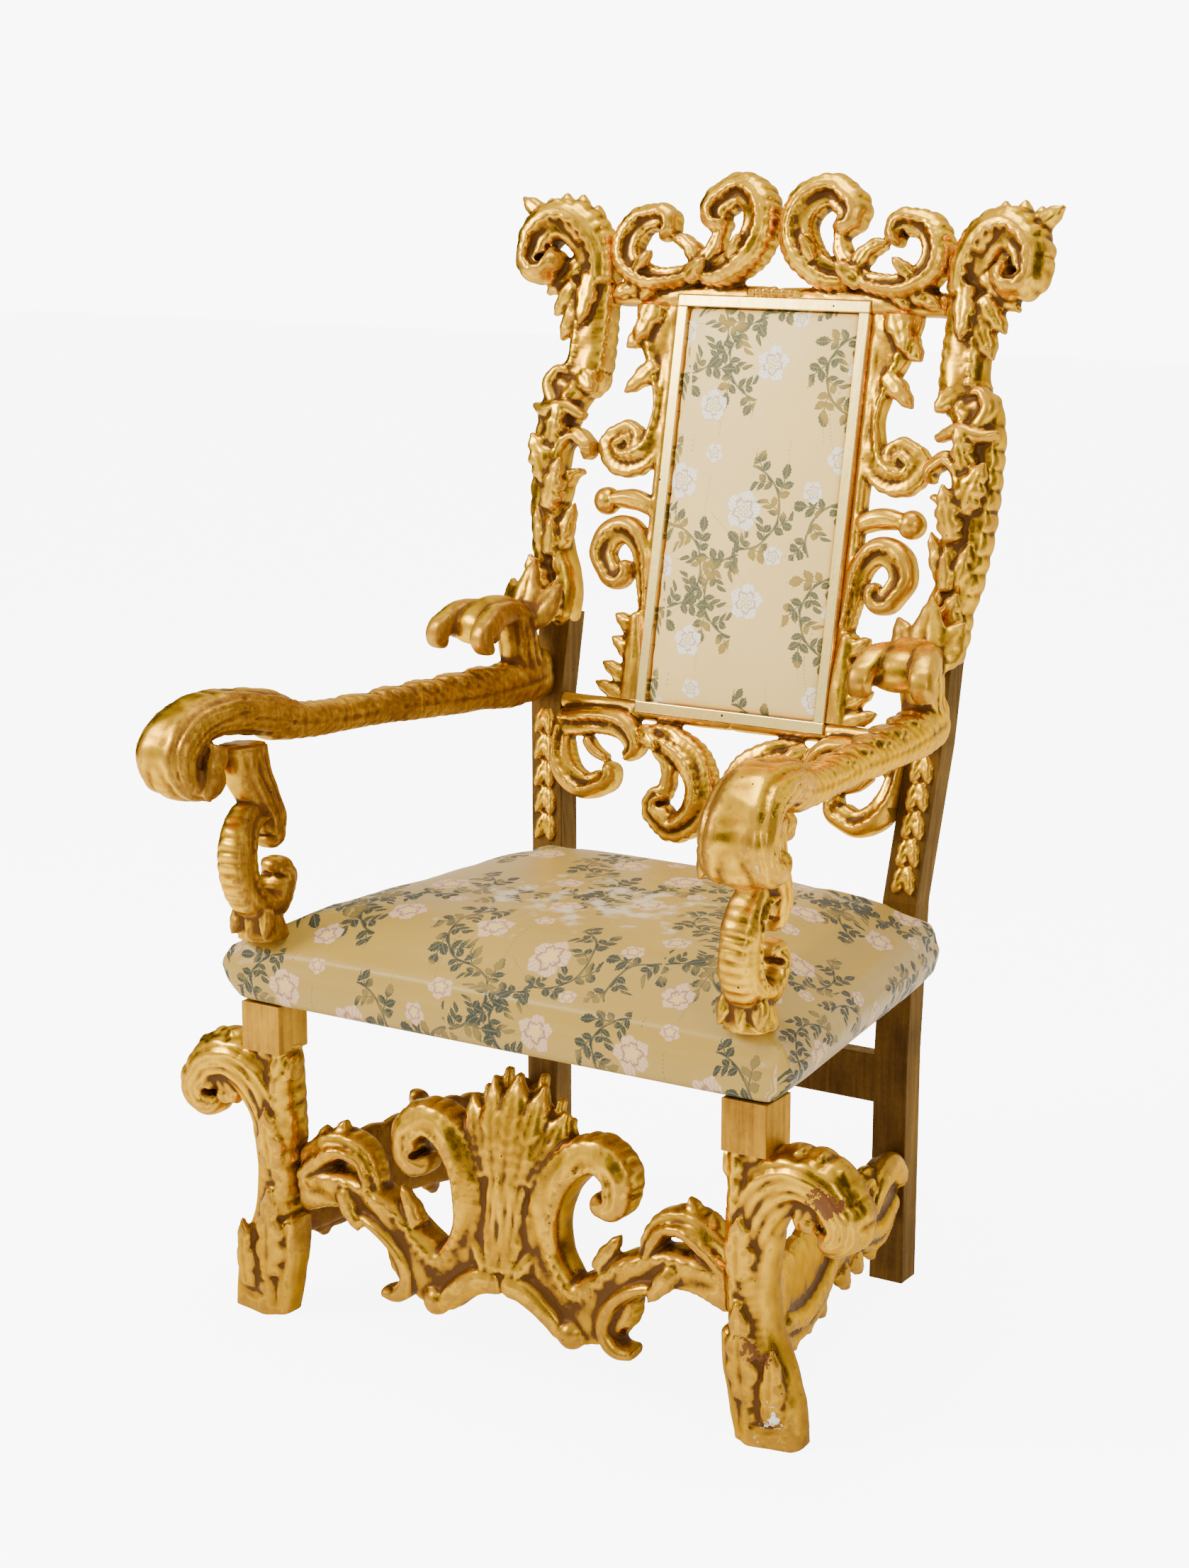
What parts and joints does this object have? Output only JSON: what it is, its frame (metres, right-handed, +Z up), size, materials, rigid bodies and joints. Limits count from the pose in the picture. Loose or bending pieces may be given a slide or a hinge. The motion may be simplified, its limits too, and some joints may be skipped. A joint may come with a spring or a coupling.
{
  "type": "throne",
  "caption": "Carved and gilt open armchair: scrolled crest and ears, pierced back round an upholstered panel, scroll arms, padded seat, knee-volute legs and a fan stretcher.",
  "frame": {"origin": "on the floor, under the middle of the chair's bounding box", "axes": "+Z up; the chair faces -Y; +X is at the right of someone looking at its front"},
  "size_m": [0.9392, 0.8351, 1.3612],
  "materials": {
    "gilt_wood": "worn water gilding over red-brown bole, burnished on the ridges",
    "pale_gilding": "pale, evenly burnished gilding on flat strips",
    "brocade": "champagne satin brocade with sprays of cream and pink roses and grey-green leaves"
  },
  "bodies": {
    "root": {"arm_left": "gilt_wood", "arm_right": "gilt_wood", "arm_support_left": "gilt_wood", "arm_support_right": "gilt_wood", "back_pad": "brocade", "back_post_left": "gilt_wood", "back_post_right": "gilt_wood", "back_splat_left": "gilt_wood", "back_splat_right": "gilt_wood", "back_stretcher": "gilt_wood", "crest_rail": "gilt_wood", "front_leg_left": "gilt_wood", "front_leg_right": "gilt_wood", "front_stretcher": "gilt_wood", "lower_back_rail": "gilt_wood", "panel_moulding_bottom": "pale_gilding", "panel_moulding_left": "pale_gilding", "panel_moulding_right": "pale_gilding", "panel_moulding_top": "pale_gilding", "seat": "brocade", "side_stretcher_left": "gilt_wood", "side_stretcher_right": "gilt_wood"}
  },
  "joints": []
}
